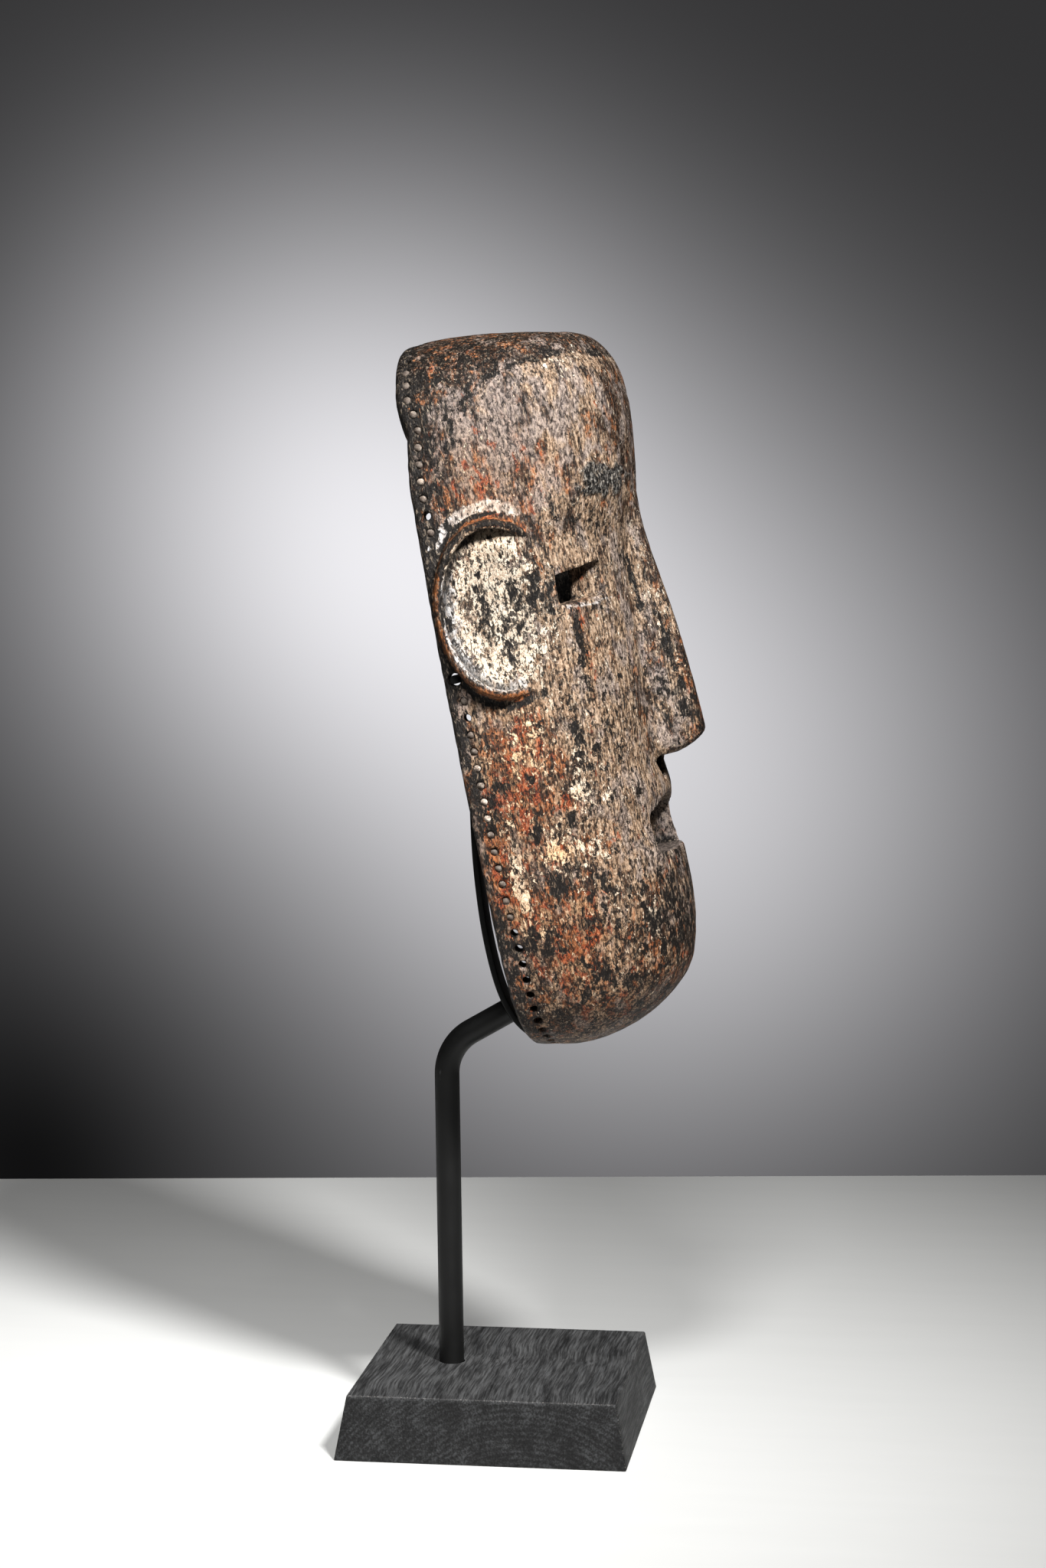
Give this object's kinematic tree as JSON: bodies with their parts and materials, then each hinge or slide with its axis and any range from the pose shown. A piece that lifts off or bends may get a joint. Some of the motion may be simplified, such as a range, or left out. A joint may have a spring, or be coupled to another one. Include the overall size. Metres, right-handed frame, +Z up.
{
  "type": "carved wooden face mask on display stand",
  "caption": "Weathered carved wood face mask with pierced eyes and mouth, C-shaped ears and a perforated rim, held by a bent rod and bowed strip on a dark wooden base.",
  "frame": {"origin": "middle of the base's flat underside", "axes": "+Z up the stand; -Y is the way the mask's face looks; +X is towards the face's own left ear, on the right of a viewer who faces the mask"},
  "size_m": [0.1698, 0.1682, 0.5263],
  "materials": {
    "patinated_wood": "carved hardwood with layered, worn dark and pale patina",
    "black_wood": "black stained, matte, open grain",
    "black_steel": "satin black"
  },
  "bodies": {
    "root": {"mask": "patinated_wood", "base": "black_wood", "rod": "black_steel", "back_strip": "black_steel", "cross_bar": "black_steel"}
  },
  "joints": []
}
